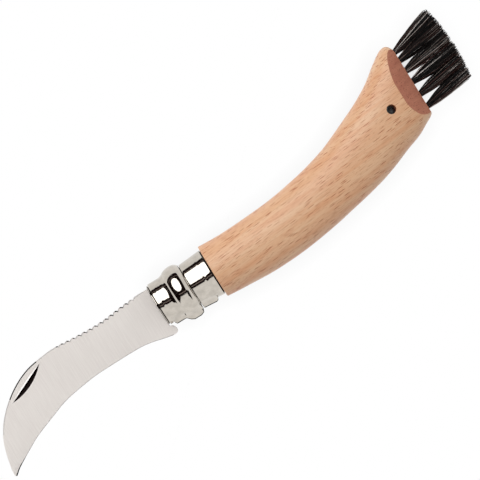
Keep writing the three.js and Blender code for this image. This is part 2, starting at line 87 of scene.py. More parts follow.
def add_node(tree, kind, values=None, links=None, **settings):
    """Adds a node with its settings, its sockets' values and the outputs that feed them."""
    node = tree.nodes.new(kind)
    for name, value in settings.items():
        setattr(node, name, value)
    for socket, value in (values or {}).items():
        node.inputs[socket].default_value = value
    for socket, source in (links or {}).items():
        tree.links.new(source, node.inputs[socket])
    return node


def new_material(name, values=None):
    """A material, its node tree and its shader, whose sockets get those values."""
    made = bpy.data.materials.new(name)
    made.use_nodes = True
    shader = made.node_tree.nodes["Principled BSDF"]
    for socket, value in (values or {}).items():
        shader.inputs[socket].default_value = value
    return made, made.node_tree, shader


def seen_directly(tree):
    """1 for rays of the camera, of mirrors and of glass, and 0 for soft light."""
    path = add_node(tree, "ShaderNodeLightPath")
    shown = add_node(tree, "ShaderNodeMath", links={0: path.outputs["Is Camera Ray"],
                     1: path.outputs["Is Glossy Ray"]}, operation="ADD", use_clamp=True)
    return add_node(tree, "ShaderNodeMath", links={0: shown.outputs[0],
                    1: path.outputs["Is Transmission Ray"]}, operation="ADD", use_clamp=True)


room_light = 0.38
world = bpy.data.worlds.new("white_room")
world.use_nodes = True
bpy.context.scene.world = world
room = world.node_tree
room_level = add_node(room, "ShaderNodeMath", values={1: 1 - room_light, 2: room_light},
                      links={0: seen_directly(room).outputs[0]}, operation="MULTIPLY_ADD")
room.nodes["Background"].inputs["Color"].default_value = (1, 1, 1, 1)
room.links.new(room_level.outputs[0], room.nodes["Background"].inputs["Strength"])

# The softbox and the panel, in metres from the collar: aside is along the knife
softbox_lean = math.radians(34)
softbox_distance = 0.8
softbox_size = (0.66, 0.96)
softbox_aside = -0.17
softbox_power = 4.3
softbox_way = Vector((0, math.sin(softbox_lean), math.cos(softbox_lean)))
bpy.ops.object.light_add(
    type="AREA", rotation=(-softbox_lean, 0, 0),
    location=collar_front + softbox_distance * softbox_way + Vector((softbox_aside, 0, 0)))
softbox = bpy.context.object
softbox.data.shape = "ELLIPSE"
softbox.data.size, softbox.data.size_y = softbox_size
softbox.data.energy = softbox_power
softbox.visible_camera = False

panel_distance = 0.9
panel_half_size = (1.38, 1.24)
panel_aside = -0.62
bpy.ops.mesh.primitive_plane_add(
    size=2, rotation=(-softbox_lean, 0, 0),
    location=collar_front + panel_distance * softbox_way + Vector((panel_aside, 0, 0)))
panel = bpy.context.object
panel.name = "black_panel"
panel.scale = (*panel_half_size, 1)
panel.visible_camera = panel.visible_diffuse = panel.visible_shadow = False

# Black velvet, as dark as it looks to a mirror. Each seam runs along the knife, and has the shares
# of the panel's width where it starts and ends, and its tone.
velvet_code = "#170c0c"
panel_seams = ((0.15, 0.18, "#a0928e"), (0.765, 0.79, "#7d6e6b"))
velvet, cloth = new_material("black_velvet")[:2]
cloth.nodes.clear()
place = add_node(cloth, "ShaderNodeTexCoord")
across = add_node(cloth, "ShaderNodeSeparateXYZ", links={0: place.outputs["Object"]})
share = add_node(cloth, "ShaderNodeMapRange", values={"From Min": -1.0}, links={0: across.outputs["Y"]})
seams = add_node(cloth, "ShaderNodeValToRGB", links={0: share.outputs[0]})
seams.color_ramp.interpolation = "CONSTANT"
for stop in seams.color_ramp.elements:
    stop.color = linear(velvet_code)
for start, end, code in panel_seams:
    seams.color_ramp.elements.new(start).color = linear(code)
    seams.color_ramp.elements.new(end).color = linear(velvet_code)
glow = add_node(cloth, "ShaderNodeEmission", links={"Color": seams.outputs["Color"]})
add_node(cloth, "ShaderNodeOutputMaterial", links={"Surface": glow.outputs[0]})
panel.data.materials.append(velvet)

# The cards draw the dark streaks down the bead's flanks. Each stands so far along the knife from the
# collar, and reaches from near to far on the belly's side.
card_bottom, card_top = 0.3, 1.0
card_places = (("front_card", -0.5, -0.05, -0.42), ("rear_card", 0.5, -0.1, -0.7))
card_velvet = new_material("card_velvet", {
    "Base Color": linear(velvet_code), "Roughness": 1.0, "Specular IOR Level": 0.0})[0]
for name, along, near, far in card_places:
    middle = Vector((along, (near + far) / 2, (card_bottom + card_top) / 2))
    bpy.ops.mesh.primitive_plane_add(size=2, rotation=(0, math.pi / 2, 0), location=collar_front + middle)
    card = bpy.context.object
    card.name = name
    card.scale = ((card_top - card_bottom) / 2, (near - far) / 2, 1)
    card.data.materials.append(card_velvet)
    card.visible_camera = card.visible_diffuse = card.visible_shadow = False

# The floor is white paper. It looks white to the camera and in metal, shaded within 9 mm of what lies
# on it from white to black, throws a little warm light back on the knife, and is clear from below.
floor_size = 12.0
shade_reach = 9.0
shade_stops = [(0.1, "#0c0a0a"), (0.18, "#b0b0b0"), (0.4, "#f6f6f6")]
bpy.ops.mesh.primitive_plane_add(size=floor_size, location=(0, 0, 0))
floor = bpy.context.object
floor.name = "floor"
paper, sheet = new_material("white_paper")[:2]
sheet.nodes.clear()
nearness = add_node(sheet, "ShaderNodeAmbientOcclusion", values={"Distance": shade_reach * mm}, samples=16)
shade = add_node(sheet, "ShaderNodeValToRGB", links={"Fac": nearness.outputs["AO"]})
for spot, code in shade_stops:
    shade.color_ramp.elements.new(spot).color = linear(code)
lit = add_node(sheet, "ShaderNodeEmission", links={"Color": shade.outputs["Color"]})
matt = add_node(sheet, "ShaderNodeBsdfDiffuse", values={"Color": linear("#f8ebe2")})
shown = add_node(sheet, "ShaderNodeMixShader", links={
    0: seen_directly(sheet).outputs[0], 1: matt.outputs[0], 2: lit.outputs[0]})
facing = add_node(sheet, "ShaderNodeNewGeometry")
clear = add_node(sheet, "ShaderNodeBsdfTransparent")
whole = add_node(sheet, "ShaderNodeMixShader", links={
    0: facing.outputs["Backfacing"], 1: shown.outputs[0], 2: clear.outputs[0]})
add_node(sheet, "ShaderNodeOutputMaterial", links={"Surface": whole.outputs[0]})
floor.data.materials.append(paper)


# Blade. A hooked blade ground from 1.7 mm stainless sheet: fifteen round teeth filed along its back, a
# ground nail nick, a honed edge, and a tang with an eye that turns on the rivet.
def select_only(piece):
    bpy.ops.object.select_all(action="DESELECT")
    piece.select_set(True)
    bpy.context.view_layer.objects.active = piece


def smooth_line(points, steps=12):
    """A smooth line through given points, with that many steps between them."""
    points = [Vector(p) for p in points]
    line = [points[0]]
    ends = [points[0], *points, points[-1]]
    for before, start, end, after in zip(ends, ends[1:], ends[2:], ends[3:]):
        reach = (end - start).length / 3
        lead = start + (end - before).normalized() * reach
        trail = end - (after - start).normalized() * reach
        line += interpolate_bezier(start, lead, trail, end, steps + 1)[1:]
    return line


def smooth_rows(rows, steps=12):
    """The (x, y) rows of a smooth line through other rows."""
    return [(p.x, p.y) for p in smooth_line([(x, y, 0) for x, y in rows], steps)]


def lengths_of(line):
    """The distance along a line at each of its points."""
    lengths = [0.0]
    for start, end in zip(line, line[1:]):
        lengths.append(lengths[-1] + (end - start).length)
    return lengths


def walk(line, lengths, distance):
    """The place and the direction at a distance along a line."""
    i = min(max(bisect.bisect_right(lengths, distance) - 1, 0), len(line) - 2)
    part = (distance - lengths[i]) / (lengths[i + 1] - lengths[i])
    return line[i].lerp(line[i + 1], part), (line[i + 1] - line[i]).normalized()


def arc(centre, radius, start, end, steps=16):
    """Points on an arc in the blade's plane, with the angles in half turns."""
    turns = [math.pi * (start + (end - start) * i / steps) for i in range(steps + 1)]
    return [(centre[0] + radius * math.cos(t), centre[1] + radius * math.sin(t)) for t in turns]


def plate(name, outline, thickness):
    """A flat plate of that outline and thickness, centred on the blade's plane."""
    mesh = bpy.data.meshes.new(name)
    mesh.from_pydata([at(x, y, -thickness / 2) for x, y in outline], [], [range(len(outline))])
    piece = bpy.data.objects.new(name, mesh)
    bpy.context.collection.objects.link(piece)
    select_only(piece)
    bpy.ops.object.mode_set(mode="EDIT")
    bpy.ops.mesh.select_all(action="SELECT")
    bpy.ops.mesh.extrude_region_move(TRANSFORM_OT_translate={"value": (0, 0, thickness * mm)})
    bpy.ops.mesh.select_all(action="SELECT")
    bpy.ops.mesh.normals_make_consistent(inside=False)
    bpy.ops.object.mode_set(mode="OBJECT")
    return piece


def carve(piece, tool, operation="DIFFERENCE"):
    """Cuts the tool out of a piece, or joins it on, and puts the tool away."""
    boolean = piece.modifiers.new("carve", "BOOLEAN")
    boolean.operation = operation
    boolean.solver = "EXACT"
    boolean.object = tool
    select_only(piece)
    bpy.ops.object.modifier_apply(modifier=boolean.name)
    bpy.data.objects.remove(tool)


def bar(radius, length, x, y, sides=48):
    """A round bar through the knife from side to side."""
    bpy.ops.mesh.primitive_cylinder_add(
        vertices=sides, radius=radius * mm, depth=length * mm, location=at(x, y))
    tool = bpy.context.object
    bpy.ops.object.transform_apply()
    return tool


blade_length = 80.0
blade_drop = 25.6
blade_thickness = 1.7
blade_start = 1.1
blade_reach = math.sqrt(blade_length ** 2 - blade_drop ** 2)
spine_height = 6.95
heel_depth = 12.0

# The grind: flat beside the back, ever steeper below, and honed along the edge, more of it at the tip
heel_land = 3.0
flat_share = 0.3
grind_curve = 1.8
honed_share = 0.34
honed_width = 0.2
tip_honed_width = 0.45
tip_honed_length = 7.0
edge_thickness = 0.1

# Each tooth rises over the first 5 of its 12 steps and falls over the rest, and the last three fade out
# towards the tip
teeth_from = 7.15
tooth_pitch = 2.24
tooth_depth = 0.64
tooth_count = 15
tooth_steps = 12
tooth_peak = 5 / 12
fading_teeth = 3

# Outlines as listed shares: along the blade's reach, then down from the top of the back, or
# from the heel, to the tip
spine_shares = [
    (0, 0), (0.07, -0.002), (0.16, 0.011), (0.275, 0.037), (0.4, 0.031), (0.515, 0.013), (0.585, 0.021),
    (0.7, 0.068), (0.81, 0.198), (0.907, 0.4), (0.963, 0.612), (0.995, 0.886), (1, 0.985),
]
edge_shares = [
    (0.014, 0), (0.049, -0.037), (0.123, -0.132), (0.185, -0.176), (0.336, -0.176), (0.429, -0.162),
    (0.526, -0.096), (0.616, 0), (0.7, 0.162), (0.811, 0.397), (0.869, 0.566), (0.957, 0.846), (0.991, 1),
]


def spine_point(along, down):
    return Vector((-along * blade_reach, spine_height - down * (spine_height + blade_drop), 0))


def edge_point(along, down):
    return Vector((-along * blade_reach, -heel_depth - down * (blade_drop - heel_depth), 0))


spine_line = smooth_line([spine_point(*share) for share in spine_shares])
spine_lengths = lengths_of(spine_line)
edge_line = smooth_line([edge_point(*share) for share in edge_shares])
edge_lengths = lengths_of(edge_line)

# Stations along the back: plain steel, then the steps of the teeth and of a pitch on either side, then
# plain steel in ever shorter steps to the tip. The rows lie between the back and the edge.
teeth_to = teeth_from + tooth_count * tooth_pitch
plain_steps = 5
tip_steps = 90
rows = 26
fine_from, fine_to = teeth_from - tooth_pitch, teeth_to + tooth_pitch
stations = [blade_start + (fine_from - blade_start) * i / plain_steps for i in range(plain_steps)]
stations += [fine_from + tooth_pitch * i / tooth_steps for i in range((tooth_count + 2) * tooth_steps)]
stations += [fine_to + (spine_lengths[-1] - fine_to) * math.sin(i / tip_steps * math.pi / 2)
             for i in range(tip_steps + 1)]


def tooth_at(distance):
    """The number of the tooth at a distance along the back, and how far past its notch that is."""
    return divmod((distance - teeth_from) / tooth_pitch, 1)


def filed_depth(distance):
    """How far the back lies below the tops of its round teeth."""
    number, share = tooth_at(distance)
    rising = share < tooth_peak
    if not (0 <= number < tooth_count or (number == -1 and not rising) or (number == tooth_count and rising)):
        return 0.0
    aside = 1 - share / tooth_peak if rising else (share - tooth_peak) / (1 - tooth_peak)
    fade = (teeth_to + tooth_pitch / 2 - distance) / (fading_teeth * tooth_pitch)
    return min(max(fade, 0), 1) * tooth_depth * aside ** 2


def blade_place(station, row):
    """The place on the blade's middle plane, and the share of its full thickness there."""
    distance = stations[station]
    along = (distance - blade_start) / (spine_lengths[-1] - blade_start)
    spine, way = walk(spine_line, spine_lengths, distance)
    spine -= Vector((way.y, -way.x, 0)) * filed_depth(distance)
    edge = walk(edge_line, edge_lengths, along * edge_lengths[-1])[0]
    width = (edge - spine).length
    near_tip = max(0.0, 1 - (1 - along) * blade_length / tip_honed_length)
    honed = min(honed_width + (tip_honed_width - honed_width) * near_tip, width / 2)
    across = 1.0 if row == rows else row / (rows - 1) * (1 - honed / max(width, honed))
    ground = min(max((along * blade_reach - heel_land) / (2 * heel_land), 0), 1)
    ground = ground * ground * (3 - 2 * ground)
    bevel = max(0.0, (across - flat_share) / (1 - flat_share)) ** grind_curve
    full = 1 - (1 - honed_share) * bevel * ground
    if row == rows:
        full = 1 - (1 - edge_thickness / blade_thickness) * ground
    return spine.lerp(edge, across), full


# Satin stainless steel: a pale, warm grey whose fine grinding lines run from back to edge. They scatter
# the light so widely that it looks partly matt, and are drawn some five times too coarse, to show.
grit_pitch = 0.25
grit_length = 9.0
grit_depth = 0.02
handling_size = 18.0
satin, tree, steel = new_material("satin_stainless", {"Metallic": 0.7, "Roughness": 0.8})
place = add_node(tree, "ShaderNodeTexCoord")
lines_at = add_node(tree, "ShaderNodeMapping", values={"Scale": (
    1 / (grit_pitch * mm), 1 / (grit_length * mm), 1 / (grit_length * mm))},
    links={"Vector": place.outputs["Object"]})
lines = add_node(tree, "ShaderNodeTexNoise", values={"Scale": 1.0, "Detail": 3.0, "Roughness": 0.6},
                 links={"Vector": lines_at.outputs[0]})
cloud = add_node(tree, "ShaderNodeTexNoise", values={"Scale": 1 / (handling_size * mm), "Detail": 3.0},
                 links={"Vector": place.outputs["Object"]})
tone = add_node(tree, "ShaderNodeMix", values={"Factor": 0.3}, links={
    2: lines.outputs["Fac"], 3: cloud.outputs["Fac"]}, data_type="FLOAT")
tint = add_node(tree, "ShaderNodeValToRGB", links={"Fac": tone.outputs[0]})
for stop, spot, code in zip(tint.color_ramp.elements, (0.3, 0.7), ("#f3eeea", "#fcf8f4")):
    stop.position = spot
    stop.color = linear(code)
tree.links.new(tint.outputs["Color"], steel.inputs["Base Color"])
scratch = add_node(tree, "ShaderNodeBump", values={"Strength": 0.12, "Distance": grit_depth * mm},
                   links={"Height": lines.outputs["Fac"]})
tree.links.new(scratch.outputs[0], steel.inputs["Normal"])


def plain_steel(name, code, roughness, grain):
    """Bare worked steel, whose tone wavers with a grain of that size. It is coarser than real, to show."""
    grain_depth = 0.02
    made, tree, steel = new_material(name, {"Metallic": 1.0, "Roughness": roughness})
    place = add_node(tree, "ShaderNodeTexCoord")
    speck = add_node(tree, "ShaderNodeTexNoise", values={"Scale": 1 / (grain * mm), "Detail": 4.0},
                     links={"Vector": place.outputs["Object"]})
    tint = add_node(tree, "ShaderNodeValToRGB", links={"Fac": speck.outputs["Fac"]})
    for stop, spot, share in zip(tint.color_ramp.elements, (0.35, 0.65), (0.8, 1)):
        stop.position = spot
        stop.color = linear(code, share)
    rough = add_node(tree, "ShaderNodeBump", values={"Strength": 0.1, "Distance": grain_depth * mm},
                     links={"Height": speck.outputs["Fac"]})
    tree.links.new(tint.outputs["Color"], steel.inputs["Base Color"])
    tree.links.new(rough.outputs[0], steel.inputs["Normal"])
    return made


# The honed edge is darker than the satin of the sides, and the near black on the teeth, on the back
# beside the nick and in the nick is painted shade. The broken corners of the back are as pale, and the
# rub of the nail keeps the land beside the nick bright.
blade_finishes = [satin, plain_steel("honed_edge", "#c2bdb9", 0.5, 0.6),
                  plain_steel("nick_painted_dark_steel", "#1c1514", 0.4, 0.4),
                  plain_steel("painted_dark_steel", "#161312", 0.5, 0.4),
                  plain_steel("broken_edge_steel", "#efeae6", 0.5, 0.4),
                  plain_steel("nail_rubbed_steel", "#cac6c4", 0.3, 0.4)]
honed, painted_dark_nick, painted_dark, broken, rubbed = 1, 2, 3, 4, 5

# The blade's middle plane is a sheet of stations by rows, and its ground thickness a vertex group. The
# last row of faces is the honed edge, painted near black at the tip as painted shade.
weld = 0.02
bpy.ops.object.select_all(action="DESELECT")
bpy.ops.mesh.primitive_grid_add(x_subdivisions=len(stations) - 1, y_subdivisions=rows, size=2)
blade = bpy.context.object
blade.name = "ground_blade"
for finish in blade_finishes:
    blade.data.materials.append(finish)
grind = blade.vertex_groups.new(name="grind")
back = blade.vertex_groups.new(name="back")
honed_from = 1 - 2 / rows
dark_from = 1 - tip_honed_length / blade_length
# Near the tip the honed edge takes the near-black steel, a painted shade
for face in blade.data.polygons:
    along = stations[round((face.center.x + 1) / 2 * (len(stations) - 1))] / spine_lengths[-1]
    if face.center.y > honed_from:
        face.material_index = painted_dark if along > dark_from else honed
for vertex in blade.data.vertices:
    station = round((vertex.co.x + 1) / 2 * (len(stations) - 1))
    row = round((vertex.co.y + 1) / 2 * rows)
    place, full = blade_place(station, row)
    vertex.co = at(*place)
    grind.add([vertex.index], full, "REPLACE")
    if row == 0:
        back.add([vertex.index], 1, "REPLACE")
bpy.ops.object.mode_set(mode="EDIT")
bpy.ops.mesh.select_all(action="SELECT")
bpy.ops.mesh.remove_doubles(threshold=weld * mm)
bpy.ops.mesh.normals_make_consistent(inside=False)
bpy.ops.object.mode_set(mode="OBJECT")
thicken = blade.modifiers.new("thicken", "SOLIDIFY")
thicken.thickness = blade_thickness * mm
thicken.offset = 0
thicken.vertex_group = grind.name
bpy.ops.object.modifier_apply(modifier=thicken.name)

# Both corners of the back are broken, up to the fine tip. On the sides of the teeth that are nearer
# the collar, but for the first, and beside the nick, the broken corners are painted near black: painted
# shade in the notches, and a painted dark reflection along the back.
back_break = 0.42
unbroken_tip = 15.5
nick_length = 17.0
nick_shares = [(0.631, 0.082), (0.824, 0.288)]
nick_from, nick_to = [spine_point(*share) for share in nick_shares]


def along_back(place):
    """The distance along the back of the place on it that is nearest."""
    spot = (place - collar_front) / mm
    nearest = min(range(len(spine_line)), key=lambda i: (spine_line[i].xy - spot.xy).length)
    way = spine_line[min(nearest + 1, len(spine_line) - 1)] - spine_line[max(nearest - 1, 0)]
    return spine_lengths[nearest] + (spot - spine_line[nearest]).xy.dot(way.xy.normalized())


group = blade.vertex_groups["back"].index
on_back = {v.index for v in blade.data.vertices if any(g.group == group for g in v.groups)}
bpy.ops.object.mode_set(mode="EDIT")
bpy.ops.mesh.select_mode(type="EDGE")
bpy.ops.mesh.select_all(action="DESELECT")
bpy.ops.object.mode_set(mode="OBJECT")
for edge in blade.data.edges:
    ends = [blade.data.vertices[v].co for v in edge.vertices]
    same_side = (ends[0].z - collar_front.z) * (ends[1].z - collar_front.z) > 0
    if same_side and on_back.issuperset(edge.vertices):
        edge.select = along_back((ends[0] + ends[1]) / 2) < spine_lengths[-1] - unbroken_tip
bpy.ops.object.mode_set(mode="EDIT")
bpy.ops.mesh.bevel(offset=back_break * mm, segments=1, clamp_overlap=False, material=broken)
bpy.ops.object.mode_set(mode="OBJECT")
nick_distance = along_back(at(*(nick_from + nick_to) / 2))
for face in blade.data.polygons:
    if face.material_index == broken:
        distance = along_back(face.center)
        number, share = tooth_at(distance)
        on_slant = 1 <= number < tooth_count and share < tooth_peak
        if on_slant or abs(distance - nick_distance) < nick_length / 2:
            face.material_index = painted_dark

# The tang goes on from the blade's neck under the ring to a round eye. It is a hair thinner, and the
# heel's rounded corner stands out below it. The eye's arc is in half turns.
pivot = (9.5, -2.5)
rivet_radius = 1.25
fitted_gap = 0.15
eye_radius = 4.6
eye_from, eye_to = 0.78, -0.5
tang_top = 6.5
tang_bottom = -7.0
notch = -0.65
shoulder = 3.5
neck = -2.27
tang_ease = 0.02
heel_outline = [(0, -8.6), (0.75, -9.4), (1.08, -10.4), (1.0, -11.3), (0.3, -11.9), (-1.1, -12.0)]
heel_top = heel_outline[0][1]
heel_steps = 5
tang_outline = [(neck, spine_height), (notch, spine_height), (notch, tang_top), (shoulder, tang_top)]
tang_outline += arc(pivot, eye_radius, eye_from, eye_to)
tang_outline += [(notch, tang_bottom), (notch, heel_top)]
tang_outline += smooth_rows(heel_outline, heel_steps)
tang_outline += [(neck, -heel_depth + fitted_gap)]
tang = plate("tang", tang_outline, blade_thickness - tang_ease)
carve(blade, tang, "UNION")
carve(blade, bar(rivet_radius + fitted_gap, 2 * blade_thickness, *pivot))

# The nick is ground with a wheel that leans over: its flat leaves a steep wall towards the back, and
# its rim a slope. Between the wall and the back the nail has rubbed a shallow, bright land.
nick_depth = 0.72
nick_wall = math.radians(62)
land_width = 0.62
land_wall = math.radians(9)
land_overlap = 0.05
wheel_thickness = 4.0
wheel_sides = 720
nick_along = (nick_to - nick_from).normalized()
nick_aside = Vector((-nick_along.y, nick_along.x, 0))


def wheel_cut(aside, wall, reach, shift):
    """Grinds a crescent on one side of the nick's straight line, which is a chord of the wheel's flat.

    The flat slants down to that side at the angle wall, as far as reach. Shift moves the line aside.
    """
    down = aside * math.cos(wall) - Vector((0, 0, math.sin(wall)))
    axis = aside * math.sin(wall) + Vector((0, 0, math.cos(wall)))
    radius = nick_length ** 2 / (8 * reach) + reach / 2
    middle = (nick_from + nick_to) / 2 + Vector((0, 0, blade_thickness / 2)) + shift * nick_aside
    middle += down * (reach - radius) + axis * wheel_thickness / 2
    bpy.ops.object.select_all(action="DESELECT")
    bpy.ops.mesh.primitive_cylinder_add(vertices=wheel_sides, radius=radius * mm, depth=wheel_thickness * mm)
    wheel = bpy.context.object
    wheel.rotation_mode = "QUATERNION"
    wheel.rotation_quaternion = axis.to_track_quat("Z", "X")
    wheel.location = at(*middle)
    bpy.ops.object.transform_apply()
    carve(blade, wheel)


wheel_cut(-nick_aside, land_wall, land_width, land_overlap)
wheel_cut(nick_aside, nick_wall, nick_depth / math.sin(nick_wall), 0)

# Of the faces near the nick, those that turn further from the blade's side than the land does are the
# wall and slope, painted near black as painted shade, and those between the two are the land
steepest_land, steepest_side = 0.96, 0.996
search_beside, search_before, search_beyond = 3.0, -1.0, nick_length + 2.0
for face in blade.data.polygons:
    aside = (face.center - at(*nick_from)) / mm
    beside, beyond = aside.dot(nick_aside), aside.dot(nick_along)
    near = abs(beside) < search_beside and search_before < beyond < search_beyond
    if near and face.center.z > collar_front.z:
        if face.normal.z < steepest_land and beside > -land_overlap:
            face.material_index = painted_dark_nick
        elif steepest_land < face.normal.z < steepest_side and beside < land_overlap:
            face.material_index = rubbed

select_only(blade)
bpy.ops.object.shade_smooth_by_angle(angle=math.radians(20))

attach(blade, "blade")
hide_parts("blade")

# Handle. A grip of oiled beech: turned in front to carry the collars, curved down to the brush, sawn
# for the folded blade, cut slanting on both sides at the brush end and drilled for a lanyard.
handle_start = 22.5
handle_end = 118.474
handle_length = handle_end - handle_start
shoulder_radius = 10.3
shoulder_round = 0.25
half_thickness = 10.4
back_rise = 26.0
belly_rise = 16.4
handle_sides = 96
handle_stations = 64
station_crowding = 0.8
tenon = [(0.15, 6.65), (13.65, 6.65), (13.65, 7.7), (handle_start, 8.45),
         (handle_start, shoulder_radius - shoulder_round)]
back_shares = [
    (0, 0), (0.09, -0.013), (0.2, 0.002), (0.32, 0.035), (0.43, 0.1), (0.5, 0.155), (0.585, 0.245),
    (0.645, 0.335), (0.71, 0.44), (0.77, 0.54), (0.845, 0.695), (0.905, 0.86), (0.952, 0.975),
    (0.975, 0.998), (0.988, 0.98), (0.996, 0.942), (1, 0.893),
]
belly_shares = [
    (0, 0), (0.05, -0.025), (0.1, -0.04), (0.175, -0.068), (0.255, -0.064), (0.335, -0.036),
    (0.412, 0.018), (0.487, 0.085), (0.563, 0.173), (0.617, 0.235), (0.71, 0.36), (0.783, 0.494),
    (0.855, 0.658), (0.924, 0.8), (0.968, 0.939), (0.988, 1), (1, 1.05),
]
thickness_shares = [(0, 0.99), (0.15, 1), (0.5, 1), (0.8, 0.985), (1, 0.96)]
squareness_shares = [(0, 1), (0.2, 1.06), (0.6, 1.15), (0.85, 1.22), (1, 1.25)]


def share_at(table, place):
    """The value of a table of (place, value) rows at a place between them."""
    i = min(max(bisect.bisect_right([row[0] for row in table], place) - 1, 0), len(table) - 2)
    (start, low), (end, high) = table[i], table[i + 1]
    return low + (high - low) * (place - start) / (end - start)


back_heights = smooth_rows([(handle_start + along * handle_length, shoulder_radius + rise * back_rise)
                            for along, rise in back_shares])
belly_heights = smooth_rows([(handle_start + along * handle_length, -shoulder_radius + rise * belly_rise)
                             for along, rise in belly_shares])

# The handle's rings, each (along, height of its middle, half height, half thickness, squareness): first
# those of the tenon, then those of the grip, which crowd towards the brush
handle_rings = [(x, 0, radius, radius, 1) for x, radius in tenon]
for i in range(handle_stations + 1):
    along = math.sin(math.pi / 2 * (i / handle_stations) ** station_crowding)
    x = handle_start + (along * handle_length if i else shoulder_round)
    top, bottom = share_at(back_heights, x), share_at(belly_heights, x)
    handle_rings.append((x, (top + bottom) / 2, (top - bottom) / 2,
                         half_thickness * share_at(thickness_shares, along),
                         share_at(squareness_shares, along)))

# Oiled beech: a warm straw colour in soft streaks, with fine pores and the short red-brown flecks of
# its rays. The cut flats show end grain, which drinks more oil and is darker, redder and matt. The
# tenon is painted near black, a painted shade for the gap behind the ferrule. Sizes are along the grain,
# up and across.
grain_turn = math.radians(-5)
streak_size = (30, 1.9, 6)
pore_size = (4.5, 0.36, 0.9)
dash_size = (2.6, 0.27, 1.1)
pore_depth = 0.03


def beech(name, streak_codes, fleck_code, roughness, fleck_size):
    """Beech that is strewn with flecks of that size and with fainter, finer dashes."""
    made, tree, wood = new_material(name)
    place = add_node(tree, "ShaderNodeTexCoord")
    turned = add_node(tree, "ShaderNodeMapping", values={"Rotation": (0, 0, grain_turn)},
                      links={"Vector": place.outputs["Object"]})
    streaks_at, pores_at, flecks_at, dashes_at = (
        add_node(tree, "ShaderNodeMapping", values={"Scale": [1 / (s * mm) for s in size]},
                 links={"Vector": turned.outputs[0]}).outputs[0]
        for size in (streak_size, pore_size, fleck_size, dash_size))

    def strewn(under, cells_at, border, core, strongest):
        """Lays flecks over a colour, one to a cell and each of its own strength, and returns both."""
        cells = add_node(tree, "ShaderNodeTexVoronoi", values={"Scale": 1.0},
                         links={"Vector": cells_at})
        mask = add_node(tree, "ShaderNodeMapRange", links={"Value": cells.outputs["Distance"]},
                        values={"From Min": border, "From Max": core, "To Max": strongest})
        strength = add_node(tree, "ShaderNodeMath", links={0: cells.outputs["Color"],
                            1: mask.outputs[0]}, operation="MULTIPLY", use_clamp=True)
        over = add_node(tree, "ShaderNodeMix", links={0: strength.outputs[0], 6: under.outputs[2]},
                        values={7: linear(fleck_code)}, data_type="RGBA")
        return over, strength

    streak = add_node(tree, "ShaderNodeTexNoise", values={"Scale": 1.0, "Detail": 6.0},
                      links={"Vector": streaks_at})
    tint = add_node(tree, "ShaderNodeValToRGB", links={"Fac": streak.outputs["Fac"]})
    for stop, spot, code in zip(tint.color_ramp.elements, (0.27, 0.73), streak_codes):
        stop.position = spot
        stop.color = linear(code)
    pore = add_node(tree, "ShaderNodeTexNoise", values={"Scale": 1.0, "Detail": 2.0},
                    links={"Vector": pores_at})
    pore_mask = add_node(tree, "ShaderNodeMapRange", links={"Value": pore.outputs["Fac"]}, values={
        "From Min": 0.5, "From Max": 0.72, "To Max": 0.3})
    pored = add_node(tree, "ShaderNodeMix", links={0: pore_mask.outputs[0], 6: tint.outputs["Color"]},
                     values={7: linear(fleck_code)}, data_type="RGBA")
    flecked, strength = strewn(pored, flecks_at, 0.27, 0.1, 2.6)
    dashed, _ = strewn(flecked, dashes_at, 0.25, 0.06, 1.1)
    tree.links.new(dashed.outputs[2], wood.inputs["Base Color"])
    rough = add_node(tree, "ShaderNodeMapRange", links={"Value": pore.outputs["Fac"]}, values={
        "To Min": roughness - 0.06, "To Max": roughness + 0.1})
    tree.links.new(rough.outputs[0], wood.inputs["Roughness"])
    sunk = add_node(tree, "ShaderNodeMath", links={0: pore_mask.outputs[0], 1: strength.outputs[0]},
                    operation="ADD")
    bump = add_node(tree, "ShaderNodeBump", values={"Strength": 0.2, "Distance": pore_depth * mm},
                    links={"Height": sunk.outputs[0]}, invert=True)
    tree.links.new(bump.outputs[0], wood.inputs["Normal"])
    return made


# The third finish, near-black beech on the tenon, is painted shade
handle_finishes = [beech("oiled_beech", ("#e9ac80", "#f4caa2"), "#b25526", 0.42, (6.6, 0.4, 2.2)),
                   beech("oiled_end_grain", ("#c0775f", "#d18c70"), "#95523f", 0.62, (0.9, 0.7, 0.7)),
                   beech("tenon_painted_shade", ("#1c120e", "#2a1a14"), "#140c0a", 0.7, (3.0, 0.6, 3.0))]
long_grain, end_grain, painted_shade_tenon = 0, 1, 2

# The oil has hardened to a thin, soft gloss on the long grain
gloss = handle_finishes[long_grain].node_tree.nodes["Principled BSDF"]
gloss.inputs["Coat Weight"].default_value = 0.25
gloss.inputs["Coat Roughness"].default_value = 0.34

# The blank is a straight bar with its rings a millimetre apart, which then go to their own places
bpy.ops.object.select_all(action="DESELECT")
bpy.ops.mesh.primitive_circle_add(vertices=handle_sides, radius=shoulder_radius * mm, fill_type="NGON",
                                  location=at(0, 0), rotation=(0, math.pi / 2, 0))
handle = bpy.context.object
handle.name = "beech_handle"
for finish in handle_finishes:
    handle.data.materials.append(finish)
bpy.ops.object.transform_apply()
bpy.ops.object.mode_set(mode="EDIT")
bpy.ops.mesh.select_all(action="SELECT")
for _ in handle_rings[1:]:
    bpy.ops.mesh.extrude_region_move(TRANSFORM_OT_translate={"value": (mm, 0, 0)})
bpy.ops.object.mode_set(mode="OBJECT")
for vertex in handle.data.vertices:
    blank = (vertex.co - collar_front) / mm
    x, middle, half_height, half_width, squareness = handle_rings[round(blank.x)]
    turn = math.atan2(blank.z, blank.y)
    up, out = (math.copysign(abs(f(turn)) ** (1 / squareness), f(turn)) for f in (math.cos, math.sin))
    vertex.co = at(x, middle + half_height * up, half_width * out)

